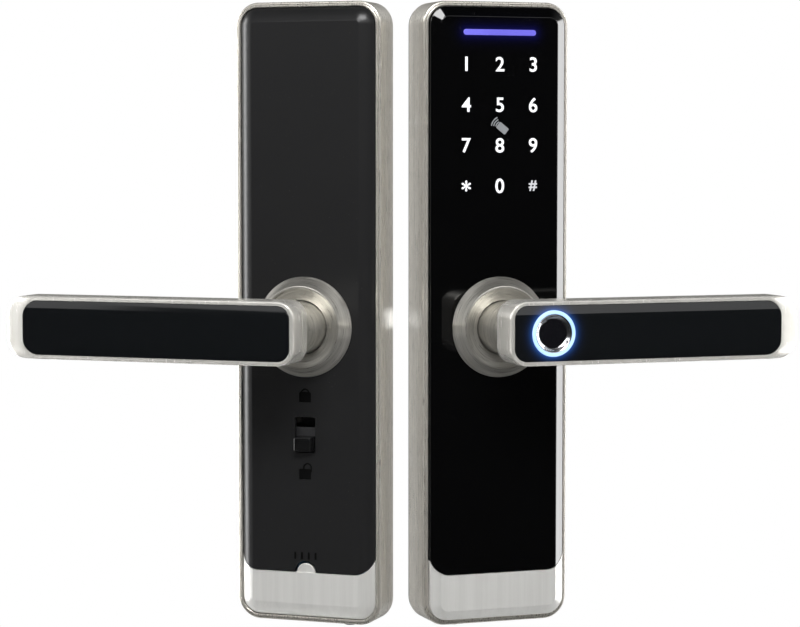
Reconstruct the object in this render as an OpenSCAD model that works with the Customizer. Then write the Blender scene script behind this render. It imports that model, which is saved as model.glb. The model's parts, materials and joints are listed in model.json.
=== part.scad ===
// Keypad smart lock for a house door: the room-side half on the left and the keypad half on
// the right, stood side by side and toed apart so that both fronts and both inner sides show.
// Each half is drawn flat on its own door face, then placed. Heights run up +Z, and "out" is
// the distance from the door face towards the user.

/* [Plates] */
// Width of each plate
plate_w = 72; // [70:0.5:76]
// Height of each plate
plate_h = 290; // [284:1:310]
// Corner radius of each plate
plate_r = 11; // [10:0.5:13]
// Depth of the outside frame, from the door face to its rim
out_depth = 20.8; // [20.6:0.1:24]
// Depth of the inside frame, from the door face to its rim
in_depth = 18.2; // [18:0.1:22]
// Height of the front faces above the rims
crown = 4; // [3.4:0.1:4.6]
// Width of the bevel round the outside front face
panel_bevel = 4.4; // [3.6:0.1:7]
// Height of the panel's upright edge above its frame
panel_rise = 2.25; // [0:0.05:3]
// Width of the bevel round the inside front face
cover_bevel = 6.2; // [3.6:0.1:7]
// Width of the metal rim
rim_w = 2.4; // [2.2:0.1:2.8]
// Thickness of the front covers
skin = 2.2; // [1.8:0.1:2.4]
// Height of the seam above the bottom caps
cap_h = 24.3; // [23:0.1:27]
// Corner radius of the seam
seam_r = 9; // [7:0.5:11]

/* [Levers] */
// Height of the lever axis
axis_z = 139.4; // [136:0.1:144]
// Distance from the axis to the lever's tip
lever_reach = 132; // [115:0.5:140]
// Distance from the axis to the lever's root end
lever_root = 12.8; // [12.4:0.1:16]
// Height of the lever bar
lever_h = 29.2; // [27:0.1:32]
// Thickness of the lever bar, front to back
lever_t = 17.5; // [16:0.5:20]
// Distance from the front face to the front of the lever bar
lever_out = 46; // [42:0.5:52]
// Corner radius of the lever bar
lever_r = 8; // [6:0.5:10]
// Length of the slope at the lever's tip
tip_slope = 9.4; // [4:0.2:12]
// Width of the lever bar's rim round its inlay
lever_rim = 1.9; // [1.5:0.1:2.4]
// Diameter of the lever's neck
neck_d = 24.4; // [22:0.1:24.6]
// Diameter of the rosette
rosette_d = 46.8; // [44:0.1:50]
// Height of the rosette
rosette_h = 6.9; // [5:0.1:8]

/* [Controls] */
// Height of the top row of the keypad
keypad_top = 261; // [258:0.5:263]
// Distance between keypad columns
key_pitch_x = 16.6; // [15:0.1:18]
// Distance between keypad rows
key_pitch_z = 18.7; // [17:0.1:19.5]
// Length of the light bar
light_l = 36; // [28:0.5:40]
// Diameter of the light ring round the fingerprint sensor
sensor_d = 21; // [19:0.1:22]
// Distance from the lever axis to the sensor's centre
sensor_x = 7.8; // [7:0.1:12]
// Height of the privacy slider's centre when unlocked
slider_z = 84.7; // [84:0.1:88]
// Travel of the privacy slider
slider_travel = 8.3; // [6:0.1:9]

/* [Fixings] */
// Heights of the two through-bolts
bolt_low = 70; // [70:0.5:72]
bolt_high = 235; // [225:0.5:245]
// Diameter of the through-bolts
bolt_d = 5; // [4:0.5:5]
// Width across the square spindles
spindle_w = 8; // [7:0.5:8]
// Length of the spindles behind the door face
spindle_l = 38; // [30:1:60]
// Diameter of the battery cells
cell_d = 14.5; // [13.5:0.1:14.5]
// Length of the battery cells
cell_l = 50.5; // [48:0.5:51]

/* [Layout] */
// Turn of each half away from the other
toe = 19.5; // [5:0.5:25]
// Distance from the middle plane to each plate's centre, at its rim
half_x = 43.9; // [43:0.1:60]

/* [Hidden] */
$fn = 64;

gap = 0.3;                          // between neighbouring pieces
out_face = out_depth + crown;       // front of the touch panel
in_face = in_depth + crown;         // front of the inside cover
inner_w = plate_w - 2 * rim_w;      // opening of the frames
plate_t = 1.5;                      // steel plates on the door side
shelf_w = 3;                        // ledge that carries the covers
skirt = 2.1;                        // covers' straight edge
rim_step = 0.6;                     // outer part of the rim lies lower
bridge_out = 13.2;                  // web that carries each lever's bushing
bridge_t = 1.6;
hub_out = 7;                        // lever hub's disc
hub_t = 4;
hub_r = 13;
shaft_d = 12;                       // hub's shaft, clamped in the neck
stub_d = 16;                        // neck's journal
bush_fit = 0.05;                    // running clearance, on the radius
bush_d = 21;
groove_out = 11.6;                  // circlip's groove
groove_d = 14.4;
clip_t = 0.9;
neck_shoulder = 1.2;                // neck's shoulder above the front face
lever_back = lever_out - lever_t;   // back of the lever bar above the front face
tip_drop = 3;                       // fall of the slope at the lever's tip
inlay_floor = 3;                    // depth of the inlay's pocket
inlay_lift = 0.6;                   // inlay's middle above the bar's rim
inlay_edge = 0.4;                   // inlay's edge below the bar's rim
facet_h = 4;                        // sloped facets above and below the inlay's middle
pin_travel = 2.4;                   // clutch pin's travel
pin_out = 9;
pin_d = 4;
pin_tip = hub_r + 0.5;              // clutch pin's tip, from the lever axis
pin_top = 21;
pin_fit = 0.05;
screw_d = 3;
screw_fit = 0.06;
motor_z = axis_z + 44;
spring_wire = 1.6;
spring_r = 13;
key_z = 13.5;                       // key cylinder's height
plug_d = 12;
plug_fit = 0.04;
cell_pitch = 15;
cell_z = 8.2;                       // cells' lower ends
cell_out = 10.1;                    // cells' centres
tray_z = 5.7;                       // battery tray's lower and upper ends
tray_top = 64;
tray_front = in_depth - 4.5;        // just behind the frame's ledge
contact_l = 1.3;                    // plate under each cell
pocket_l = cell_l + contact_l + 3.4;
slot_w = 10.2;                      // slider's slot in the cover
knob_w = 9.4;
knob_h = 7.1;
knob_lift = 4.2;
link_back = in_face - skin - 6;     // back of the slider's link
notch_r = 5.3;                      // finger notch above the battery cover
post_l = 16;
cable_x = -16;                      // cable hole through the door-side plates
cable_z = 108;
cable_d = 12;
boss_x = inner_w / 2 - 3.4;         // bosses for the plate screws
boss_z = [[-1, 68.5], [1, 68.5], [-1, 222], [1, 222]];
screw_head = 5;                     // plate screws' heads, sunk in the plates
sink_l = 0.9;
foot_x = 17.6;                      // screw in the bottom of each frame
foot_head = 1.4;
centre_shift = -2.68;               // sets the origin below the middle of the whole

// Helpers -------------------------------------------------------------------------------

// A flat outline in X and Z made solid from one distance out to another
module slab(from, to) translate([0, -from, 0]) rotate([90, 0, 0]) linear_extrude(to - from) children();

// A round peg that points out from the door
module peg(d, from, to, x = 0, z = 0)
    translate([x, -from, z]) rotate([90, 0, 0]) cylinder(d = d, h = to - from);

// A block centred on x and z
module block(w, h, from, to, x = 0, z = 0) translate([x - w / 2, -to, z - h / 2]) cube([w, to - from, h]);

// A body of revolution whose profile points are [radius, out]
module turned(points, z = 0) translate([0, 0, z]) rotate([90, 0, 0]) rotate_extrude() polygon(points);

// A rectangle with true round corners
module rounded(w, h, r) {
    square([w - 2 * r, h], center = true);
    square([w, h - 2 * r], center = true);
    for (sx = [-1, 1], sz = [-1, 1]) translate([sx * (w / 2 - r), sz * (h / 2 - r)]) circle(r);
}

module plate_2d(inset = 0) translate([0, plate_h / 2])
    rounded(plate_w - 2 * inset, plate_h - 2 * inset, plate_r - inset);

// Everything above the seam, whose lower corners are round
module above_seam_2d(grow = 0) {
    top = plate_h + 20;
    translate([0, (cap_h + top) / 2])
        rounded(inner_w - 2 * gap + 2 * grow, top - cap_h + 2 * grow, seam_r + grow);
}

// The bevelled solid that both front pieces of a half are cut from
module crown_solid(depth, bevel, rise, shrink = 0) {
    edge = rim_w + gap + shrink;
    hull() {
        slab(depth - 0.5 - skirt - shrink, depth - 0.5 + rise - shrink / 2) plate_2d(edge);
        slab(depth + crown - shrink - 0.2, depth + crown - shrink) plate_2d(edge + bevel - shrink / 2);
    }
}

module crown_shell(depth, bevel, rise = 0) difference() {
    crown_solid(depth, bevel, rise);
    crown_solid(depth, bevel, rise, skin);
}

// A wire coil along Z
module coil(r, wire, pitch, turns, steps = 16, sides = 8) {
    rings = round(turns * steps);
    points = [for (i = [0 : rings], j = [0 : sides - 1])
        let (a = 360 * i / steps, b = 360 * j / sides, q = r + wire / 2 * cos(b))
        [q * cos(a), q * sin(a), pitch * i / steps + wire / 2 * sin(b)]];
    walls = [for (i = [0 : rings - 1], j = [0 : sides - 1])
        let (k = (j + 1) % sides, m = i * sides, n = m + sides) [m + j, m + k, n + k, n + j]];
    ends = [[for (j = [0 : sides - 1]) sides - 1 - j], [for (j = [0 : sides - 1]) rings * sides + j]];
    polyhedron(points, concat(walls, ends));
}

// The places of the two halves
module outside_half() translate([half_x, centre_shift, foot_head]) rotate([0, 0, toe])
    translate([0, out_depth, 0]) children();

module inside_half() translate([-half_x, centre_shift, foot_head]) rotate([0, 0, -toe])
    translate([0, in_depth, 0]) children();

module both_halves() {
    outside_half() children();
    inside_half() children();
}

// Pieces that both halves have ----------------------------------------------------------

// Hollow frame with a stepped rim, a ledge for the covers, a web for the bushing and bosses
module frame(depth, foot_side) difference() {
    union() {
        difference() {
            slab(0, depth) plate_2d();
            slab(-1, depth + 1) plate_2d(rim_w);
            slab(depth - rim_step, depth + 1) difference() {
                plate_2d(-1);
                plate_2d(rim_w / 2);
            }
        }
        slab(depth - 4.4, depth - 2.8) difference() {
            plate_2d(rim_w - 0.1);
            plate_2d(rim_w + shelf_w);
        }
        block(inner_w + 0.4, 44, bridge_out, bridge_out + bridge_t, z = axis_z);
        for (b = boss_z) peg(6.4, plate_t + 0.1, depth - 4, x = b[0] * boss_x, z = b[1]);
    }
    peg(bush_d, bridge_out - 1, bridge_out + bridge_t + 1, z = axis_z);
    for (b = boss_z) peg(2.5, 0, 10, x = b[0] * boss_x, z = b[1]);
    translate([foot_side * foot_x, -depth / 2, -1]) cylinder(d = 3, h = rim_w + 2);
}

module rosette(face) {
    r = rosette_d / 2;
    bore = neck_d / 2 + 0.45;
    turned([[bore, face], [r, face], [r, face + 0.9], [r - 3.7, face + rosette_h - 0.5],
        [r - 4.3, face + rosette_h], [r - 4.9, face + rosette_h],
        [r - 5.6, face + rosette_h - 0.3], [bore, face + rosette_h - 2.3]], z = axis_z);
}

// Outline of the lever bar, seen from the front, that reaches along +X
module bar_2d(inset = 0, end = lever_reach) translate([(end - lever_root) / 2, axis_z])
    rounded(end + lever_root - 2 * inset, lever_h - 2 * inset, lever_r - inset);

// Die-cast bar with a sloped tip and a pocket for its inlay
module lever_bar(face, pocket_r = 0) {
    back = face + lever_back;
    front = face + lever_out;
    end = lever_reach - tip_slope - 0.2;
    difference() {
        intersection() {
            slab(back, front) bar_2d();
            translate([0, 0, axis_z - lever_h]) linear_extrude(2 * lever_h)
                polygon([[-lever_root - 1, -back + 1], [lever_reach + 1, -back + 1],
                    [lever_reach + 1, tip_drop * (1 + 1 / tip_slope) - front],
                    [lever_reach - tip_slope, -front - 0.01],
                    [-lever_root - 1, -front - 0.01]]);
        }
        slab(front - inlay_floor, front + 1) bar_2d(lever_rim, end + lever_rim);
        if (pocket_r > 0) peg(2 * pocket_r, front - 11, front, x = sensor_x, z = axis_z);
        peg(shaft_d, back - 1, back + 6, z = axis_z);
    }
}

// Sleeve from the bar into the bushing, bored for the hub's shaft
module lever_neck(face) difference() {
    union() {
        peg(neck_d, face + neck_shoulder, face + lever_back, z = axis_z);
        difference() {
            peg(stub_d, hub_out + hub_t + 0.05, face + neck_shoulder, z = axis_z);
            slab(groove_out, groove_out + clip_t + 0.2) translate([0, axis_z]) difference() {
                circle(d = stub_d + 1);
                circle(d = groove_d);
            }
        }
    }
    peg(shaft_d, 0, face + lever_out, z = axis_z);
    translate([0, -face - 12, axis_z - neck_d]) cylinder(d = 4, h = neck_d);
}

// Glossy inlay with sloped facets along its top and bottom
module lever_inlay(face, hole_d = 0) {
    front = face + lever_out;
    half = lever_h / 2 - lever_rim - 0.15;
    end = lever_reach - tip_slope - 0.2;
    difference() {
        intersection() {
            slab(front - inlay_floor + 0.05, front + 2) bar_2d(lever_rim + 0.15, end + lever_rim);
            translate([-lever_root, 0, axis_z]) rotate([90, 0, 90]) linear_extrude(lever_reach + lever_root)
                polygon([[-front + inlay_floor, -half], [-front + inlay_edge, -half],
                    [-front - inlay_lift, facet_h - half], [-front - inlay_lift, half - facet_h],
                    [-front + inlay_edge, half], [-front + inlay_floor, half]]);
        }
        if (hole_d > 0) peg(hole_d, front - 5, front + 3, x = sensor_x, z = axis_z);
    }
}

// Disc that the return spring turns back, and the shaft clamped in the neck
module hub(face, bottom, notch) difference() {
    union() {
        peg(2 * hub_r, hub_out, hub_out + hub_t, z = axis_z);
        peg(shaft_d, hub_out, face + lever_back + 5.9, z = axis_z);
        peg(shaft_d, bottom, hub_out, z = axis_z);
    }
    if (notch) block(pin_d + 0.8, 4, hub_out - 1, hub_out + hub_t + 1, z = axis_z + hub_r);
    if (!notch) block(spindle_w, spindle_w, bottom - 1, hub_out + 10, z = axis_z);
}

module circlip() difference() {
    peg(20, groove_out + 0.1, groove_out + 0.1 + clip_t, z = axis_z);
    peg(groove_d, groove_out - 1, groove_out + 3, z = axis_z);
    block(5, 8, groove_out - 1, groove_out + 3, z = axis_z - 8);
}

module set_screw(face) translate([0, -face - 12, axis_z - neck_d / 2 + 0.6]) difference() {
    cylinder(d = 4, h = neck_d / 2 - shaft_d / 2 - 0.6);
    translate([0, 0, -1]) cylinder(d = 2.2, h = 3, $fn = 6);
}

module bushing(face) turned([[stub_d / 2 + bush_fit, bridge_out], [bush_d / 2, bridge_out],
    [bush_d / 2, face + neck_shoulder - 0.4], [stub_d / 2 + bush_fit, face + neck_shoulder - 0.4]],
    z = axis_z);

module return_spring() translate([0, -(bridge_out + bridge_t + spring_wire / 2 + 0.05), axis_z])
    rotate([90, 0, 0]) coil(spring_r, spring_wire, 1.7, 1.9);

module square_bar(from, to) block(spindle_w, spindle_w, from, to, z = axis_z);

module door_plate() difference() {
    slab(0, plate_t) plate_2d(rim_w + gap);
    peg(25, -1, plate_t + 1, z = axis_z);
    peg(cable_d, -1, plate_t + 1, x = cable_x, z = cable_z);
    for (z = [bolt_low, bolt_high]) peg(bolt_d + 0.4, -1, plate_t + 1, z = z);
    for (b = boss_z) {
        peg(3.3, -1, plate_t + 1, x = b[0] * boss_x, z = b[1]);
        peg(screw_head + 0.4, -1, sink_l, x = b[0] * boss_x, z = b[1]);
    }
}

// Bottom cap cut from the bevelled shell, with the seam gap above it
module cap(depth, bevel, rise = 0) difference() {
    crown_shell(depth, bevel, rise);
    slab(depth - 10, depth + 10) above_seam_2d(gap);
}

// Outside half --------------------------------------------------------------------------

module outside_frame() color("#9d998e") outside_half() frame(out_depth, -1);

module touch_panel() color("#060607") outside_half() difference() {
    intersection() {
        crown_shell(out_depth, panel_bevel, panel_rise);
        slab(out_depth - 10, out_face + 1) above_seam_2d();
    }
    peg(30, out_depth, out_face + 1, z = axis_z);
    slab(out_depth, out_face + 1) translate([0, keypad_top + 14.6]) rounded(light_l, 2.7, 1.3);
}

// Twelve printed keys, and the card mark between the second and third rows
module keypad_legends() color("#f2f2f2") outside_half() slab(out_face, out_face + 0.1) {
    for (col = [-1 : 1], row = [0 : 3])
        translate([col * key_pitch_x, keypad_top - row * key_pitch_z]) rounded(4.8, 7.4, 1.5);
    translate([0, keypad_top - 1.53 * key_pitch_z]) rounded(8, 6, 1.5);
}

module light_bar() color("#6a66e8") outside_half() slab(out_face - skin - 0.4, out_face)
    translate([0, keypad_top + 14.6]) rounded(light_l, 2.7, 1.3);

module keypad_board() color("#1d5a36") outside_half() {
    block(50, 84, out_face - skin - 2.1, out_face - skin - 0.5, z = 238);
    block(12, 8, out_face - skin - 3.6, out_face - skin - 2.1, x = -14, z = 262);
}

module card_antenna() color("#b5763c") outside_half()
    slab(out_face - skin - 2.6, out_face - skin - 2.1) translate([4, 226]) difference() {
        rounded(40, 46, 4);
        rounded(34, 40, 2);
    }

module buzzer() color("#2a2a2c") outside_half() difference() {
    peg(12, out_face - skin - 8, out_face - skin - 2.1, x = 4, z = 226);
    peg(2, out_face - skin - 9, out_face - skin - 6, x = 4, z = 226);
}

module key_cover() color("#b9b8b3") outside_half() cap(out_depth, panel_bevel, panel_rise);

module key_cylinder() color("#c9a85a") outside_half() difference() {
    peg(17, 4, 16.2, z = key_z);
    peg(plug_d + 2 * plug_fit, 3, 18, z = key_z);
}

module key_plug() color("#d8bd74") outside_half() difference() {
    peg(plug_d, 3.7, 16.6, z = key_z);
    block(1.6, 8, 5, 18, z = key_z);
    block(3, 1.6, 5, 18, x = 0.7, z = key_z - 2);
}

module key_cam() color("#8d9094") outside_half() {
    peg(plug_d, 2, 3.7, z = key_z);
    block(14, 5, 2, 3.7, x = 7, z = key_z);
}

module power_socket() color("#c4c6c8") outside_half() difference() {
    union() {
        block(14, 8, plate_t, 5, x = 22, z = key_z);
        block(10.6, 5, 5, 17, x = 22, z = key_z);
    }
    slab(10, 18) translate([22, key_z]) rounded(9, 3.2, 1.5);
}

module outside_rosette() color("#b4b0a6") outside_half() rosette(out_face);

module outside_lever_bar() color("#bdbab0") outside_half() lever_bar(out_face, sensor_d / 2 - 0.5);

module outside_lever_neck() color("#a9a59a") outside_half() lever_neck(out_face);

module outside_lever_inlay() color("#0e0f12") outside_half() lever_inlay(out_face, sensor_d);

module sensor_light_ring() color("#cfe4ff") outside_half() translate([sensor_x, 0, 0]) {
    front = out_face + lever_out;
    r = sensor_d / 2;
    turned([[r - 2, front - 3], [r - 0.05, front - 3], [r - 0.05, front + 0.7], [r - 0.5, front + 1.1],
        [r - 1.6, front + 1.1], [r - 2, front + 0.8]], z = axis_z);
}

module sensor_bezel() color("#d9dadc") outside_half() translate([sensor_x, 0, 0]) {
    front = out_face + lever_out;
    r = sensor_d / 2 - 2.05;
    turned([[r - 2.4, front - 4], [r, front - 4], [r, front + 0.8], [r - 0.3, front + 0.8],
        [r - 1.7, front - 0.6], [r - 1.7, front - 2.9], [r - 2.4, front - 2.9]], z = axis_z);
}

module sensor_pad() color("#0a0a0c") outside_half()
    peg(sensor_d - 7.6, out_face + lever_out - 2.9, out_face + lever_out - 0.8, x = sensor_x, z = axis_z);

module sensor_board() color("#1d5a36") outside_half()
    peg(sensor_d - 3, out_face + lever_out - 5.6, out_face + lever_out - 4.1, x = sensor_x, z = axis_z);

module outside_set_screw() color("#3a3b3d") outside_half() set_screw(out_face);

module outside_hub() color("#8f9296") outside_half() hub(out_face, hub_out - 0.2, true);

module outside_circlip() color("#55585c") outside_half() circlip();

// Two cheeks and a roof round the motor, the screw and the slider
module clutch_housing() color("#35373a") outside_half() difference() {
    block(20, 42, plate_t, 12.6, z = axis_z + 43);
    block(14.6, 20, 3, 13, z = axis_z + 33);
    block(13, 18.2, 4, 13, z = axis_z + 51.8);
    block(14.6, 6, 3, 13, z = axis_z + 22);
}

module clutch_motor() color("#a7aaad") outside_half() {
    block(12, 15, 4.5, 12.5, z = motor_z + 8);
    translate([0, -pin_out, motor_z - 0.6]) cylinder(d = 4, h = 1.2);
}

module clutch_screw() color("#c9a85a") outside_half() translate([0, -pin_out, axis_z + 31])
    cylinder(d = screw_d, h = motor_z - axis_z - 31.8);

// Nut block with a curved foot that presses the clutch pin at any angle of the spindle
module clutch_slider() color("#e6e2d6") outside_half() difference() {
    union() {
        slab(6.4, 11.6) intersection() {
            translate([0, axis_z]) difference() {
                circle(r = pin_top + 3.2);
                circle(r = pin_top + 0.6);
            }
            translate([-7, axis_z + 15]) square([14, 12]);
        }
        block(7, 14, 6, 12, z = axis_z + pin_top + 9.5);
    }
    translate([0, -pin_out, axis_z + 27]) cylinder(d = screw_d + 2 * screw_fit, h = 20);
}

module clutch_pin() color("#d0d2d4") outside_half() translate([0, -pin_out, axis_z + pin_tip]) {
    cylinder(d = pin_d, h = pin_top - pin_tip - 1);
    translate([0, 0, pin_top - pin_tip - 1]) cylinder(d = 6, h = 1);
}

// Disc on the spindle; its guide block carries the pin over the lever hub's edge
module clutch_disc() color("#7d8085") outside_half() difference() {
    union() {
        peg(30, 2.6, 6.4, z = axis_z);
        block(9, 3.6, 2.6, 12, z = axis_z + pin_tip + 1.8);
        block(9, 3, 2.6, 6.4, z = axis_z + pin_tip);
    }
    square_bar(2, 7);
    translate([0, -pin_out, axis_z]) cylinder(d = pin_d + 2 * pin_fit, h = 30);
}

module outside_spindle() color("#9a9da1") outside_half() square_bar(-spindle_l, 6.3);

module outside_back_plate() color("#a3a6a9") outside_half() difference() {
    door_plate();
    peg(5, -1, plate_t + 1, x = -cable_x, z = cable_z);
}

module outside_gasket() color("#1c1c1d") outside_half() slab(-1, 0) difference() {
    plate_2d(0.4);
    plate_2d(rim_w + 0.5);
}

module mounting_posts() color("#b9bbbd") outside_half() for (z = [bolt_low, bolt_high]) difference() {
    union() {
        peg(bolt_d + 0.4, 0, plate_t, z = z);
        peg(9, -post_l, 0, z = z);
        peg(9, plate_t, plate_t + 1.5, z = z);
    }
    peg(4.2, -post_l - 1, 0, z = z);
}

// Programming button that is pressed from the door side
module program_button() color("#d8d8d6") outside_half() {
    peg(4.2, 0.4, 3, x = -cable_x, z = cable_z);
    peg(7, 2.4, 3.6, x = -cable_x, z = cable_z);
}

// Inside half ---------------------------------------------------------------------------

module inside_frame() color("#9d998e") inside_half() frame(in_depth, 1);

module inside_cover() color("#202022") inside_half() difference() {
    intersection() {
        crown_shell(in_depth, cover_bevel);
        slab(in_depth - 10, in_face + 1) above_seam_2d();
    }
    peg(30, in_depth, in_face + 1, z = axis_z);
    slab(in_depth, in_face + 1) translate([0, slider_z + slider_travel / 2])
        square([slot_w, knob_h + slider_travel + 1.4], center = true);
    slab(in_depth - 10, in_face + 1) translate([0, cap_h]) circle(notch_r);
}

// Cap with a half-moon tongue in the finger notch
module battery_cover() color("#b9b8b3") inside_half() {
    cap(in_depth, cover_bevel);
    slab(in_face - skin, in_face - skin + 1.4) intersection() {
        translate([0, cap_h - 0.6]) circle(notch_r - 0.6);
        translate([-notch_r, cap_h - 1.5]) square([2 * notch_r, notch_r + 2]);
    }
}

module cells_at() for (i = [-1.5 : 1.5]) translate([i * cell_pitch, -cell_out, cell_z]) children();

module battery_tray() color("#2b2c2e") inside_half() difference() {
    block(60.8, tray_top - tray_z, plate_t + 0.1, tray_front, z = (tray_top + tray_z) / 2);
    cells_at() translate([0, 0, -contact_l]) cylinder(d = cell_d + 0.4, h = pocket_l);
    for (i = [-1.5 : 1.5])
        block(cell_d - 2, pocket_l, 10, 15, x = i * cell_pitch, z = cell_z - contact_l + pocket_l / 2);
}

module battery_cells() color("#3f6b8f") inside_half() cells_at() {
    cylinder(d = cell_d, h = cell_l - 1);
    translate([0, 0, cell_l - 1]) cylinder(d = 5.5, h = 1);
}

module battery_springs() color("#cfd1d3") inside_half() cells_at()
    translate([0, 0, cell_l + 0.5]) coil(3.6, 0.8, 0.85, 2, 12, 6);

module battery_contacts() color("#cfd1d3") inside_half() cells_at() {
    translate([-4.5, -4.5, -contact_l]) cube([9, 9, contact_l]);
    translate([-4.5, -4.5, cell_l + 2.8]) cube([9, 9, 0.5]);
}

module control_board() color("#1d5a36") inside_half() {
    block(52, 104, 6, 7.6, z = 216);
    block(14, 14, 7.6, 9, x = 8, z = 236);
    block(10, 7, 7.6, 13, x = -16, z = 180);
    block(8, 18, 7.6, 10, x = 14, z = 200);
}

module privacy_slider() color("#141416") inside_half() {
    block(knob_w, knob_h, in_face - skin - 0.4, in_face + knob_lift, z = slider_z);
    for (dz = [-2, 0, 2]) block(knob_w, 0.8, in_face + knob_lift, in_face + knob_lift + 0.4, z = slider_z + dz);
}

module privacy_link() color("#c2c4c6") inside_half() {
    block(22, 15, in_face - skin - 1.6, in_face - skin - 0.4, z = slider_z);
    block(6, 6, link_back, in_face - skin - 1.6, z = slider_z);
}

module detent_spring() color("#cfd1d3") inside_half() {
    block(24, 4, link_back - 1.6, link_back - 1, z = slider_z + 4);
    for (side = [-1, 1]) block(4, 4, plate_t, link_back - 1.6, x = side * 10, z = slider_z + 4);
    translate([0, 1 - link_back, slider_z + 4]) rotate([0, 90, 0]) cylinder(r = 0.6, h = 8, center = true);
}

module inside_rosette() color("#b4b0a6") inside_half() rosette(in_face);

module inside_lever_bar() color("#bdbab0") inside_half() mirror([1, 0, 0]) lever_bar(in_face);

module inside_lever_neck() color("#a9a59a") inside_half() lever_neck(in_face);

module inside_lever_inlay() color("#0e0f12") inside_half() mirror([1, 0, 0]) lever_inlay(in_face);

module inside_set_screw() color("#3a3b3d") inside_half() set_screw(in_face);

module inside_hub() color("#8f9296") inside_half() hub(in_face, 3, false);

module inside_circlip() color("#55585c") inside_half() circlip();

module inside_spindle() color("#9a9da1") inside_half() square_bar(-spindle_l, 16.9);

module inside_mounting_plate() color("#a3a6a9") inside_half() {
    door_plate();
    for (sx = [-1, 1], z = [172, 260]) peg(5, plate_t, 6, x = sx * 22, z = z);
}

module mounting_bolts() color("#b9bbbd") inside_half() for (z = [bolt_low, bolt_high]) difference() {
    union() {
        peg(bolt_d, -spindle_l, -0.2, z = z);
        peg(bolt_d - 1, -0.2, plate_t, z = z);
        peg(9, plate_t, plate_t + 2.8, z = z);
    }
    block(1.4, 6, plate_t + 1.4, plate_t + 4, z = z);
    block(6, 1.4, plate_t + 1.4, plate_t + 4, z = z);
}

// Pieces in both halves -----------------------------------------------------------------

module lever_bushings() color("#c9a85a") {
    outside_half() bushing(out_face);
    inside_half() bushing(in_face);
}

module return_springs() color("#6c6f73") both_halves() return_spring();

module plate_screws() color("#c4c6c8") both_halves() for (b = boss_z) difference() {
    union() {
        peg(screw_head, 0.1, sink_l, x = b[0] * boss_x, z = b[1]);
        peg(2.5, sink_l, 9, x = b[0] * boss_x, z = b[1]);
    }
    block(3.4, 0.8, -1, 0.5, x = b[0] * boss_x, z = b[1]);
}

module bottom_screw(depth, side) translate([side * foot_x, -depth / 2, -foot_head]) difference() {
    union() {
        cylinder(d = 5.6, h = foot_head);
        translate([0, 0, foot_head]) cylinder(d = 3, h = rim_w);
    }
    translate([0, 0, -1]) cylinder(d = 2.2, h = 1.8, $fn = 6);
}

module bottom_screws() color("#8d8a82") {
    outside_half() bottom_screw(out_depth, -1);
    inside_half() bottom_screw(in_depth, 1);
}

module cable_sockets() color("#efeee8") both_halves() difference() {
    block(12, 7, plate_t, 7, x = cable_x, z = cable_z - 12);
    block(9.6, 4.6, plate_t + 1, 8, x = cable_x, z = cable_z - 12);
}

outside_frame();
touch_panel();
keypad_legends();
light_bar();
keypad_board();
card_antenna();
buzzer();
key_cover();
key_cylinder();
key_plug();
key_cam();
power_socket();
outside_rosette();
outside_lever_bar();
outside_lever_neck();
outside_lever_inlay();
sensor_light_ring();
sensor_bezel();
sensor_pad();
sensor_board();
outside_set_screw();
outside_hub();
outside_circlip();
clutch_housing();
clutch_motor();
clutch_screw();
clutch_slider();
clutch_pin();
clutch_disc();
outside_spindle();
outside_back_plate();
outside_gasket();
mounting_posts();
program_button();
inside_frame();
inside_cover();
battery_cover();
battery_tray();
battery_cells();
battery_springs();
battery_contacts();
control_board();
privacy_slider();
privacy_link();
detent_spring();
inside_rosette();
inside_lever_bar();
inside_lever_neck();
inside_lever_inlay();
inside_set_screw();
inside_hub();
inside_circlip();
inside_spindle();
inside_mounting_plate();
mounting_bolts();
lever_bushings();
return_springs();
plate_screws();
bottom_screws();
cable_sockets();
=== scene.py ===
import json
from math import cos, pi, radians, sin, sqrt

import bmesh
import bpy
from mathutils import Matrix, Vector


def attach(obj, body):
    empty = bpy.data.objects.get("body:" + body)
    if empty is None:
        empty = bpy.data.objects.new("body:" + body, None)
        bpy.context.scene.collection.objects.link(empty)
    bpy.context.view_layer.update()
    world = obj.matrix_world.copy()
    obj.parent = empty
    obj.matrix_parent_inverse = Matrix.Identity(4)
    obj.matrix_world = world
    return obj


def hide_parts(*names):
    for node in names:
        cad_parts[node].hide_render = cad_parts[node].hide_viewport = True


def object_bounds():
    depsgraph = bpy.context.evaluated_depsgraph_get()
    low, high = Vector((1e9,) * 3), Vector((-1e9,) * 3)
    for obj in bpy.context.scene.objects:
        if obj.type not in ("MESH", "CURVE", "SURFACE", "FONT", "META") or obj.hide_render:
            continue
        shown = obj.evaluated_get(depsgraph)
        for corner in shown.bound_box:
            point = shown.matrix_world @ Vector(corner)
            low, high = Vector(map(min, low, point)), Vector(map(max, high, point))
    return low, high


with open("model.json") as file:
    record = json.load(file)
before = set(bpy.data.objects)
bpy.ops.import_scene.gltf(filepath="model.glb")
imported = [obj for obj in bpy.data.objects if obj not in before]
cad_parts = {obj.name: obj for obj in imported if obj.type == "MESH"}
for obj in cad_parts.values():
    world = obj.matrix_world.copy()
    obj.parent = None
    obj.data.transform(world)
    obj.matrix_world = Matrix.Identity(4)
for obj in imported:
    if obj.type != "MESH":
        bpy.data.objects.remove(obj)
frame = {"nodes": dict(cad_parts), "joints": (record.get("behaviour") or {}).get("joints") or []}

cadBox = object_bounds()
joints = {j["name"]: j for j in frame["joints"]}
mm = 0.001

# sizes of both halves, in mm as in the part's own design
lock = {
    "plateW": 72.0, "plateH": 290.0, "plateR": 11.0,
    "outDepth": 20.8, "inDepth": 18.2, "crown": 4.0,
    "rimW": 2.4, "gap": 0.3, "skin": 2.2, "skirt": 2.1,
    "capH": 24.3, "seamR": 9.0, "axisZ": 139.4, "hingeZ": 2.7,
}
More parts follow.
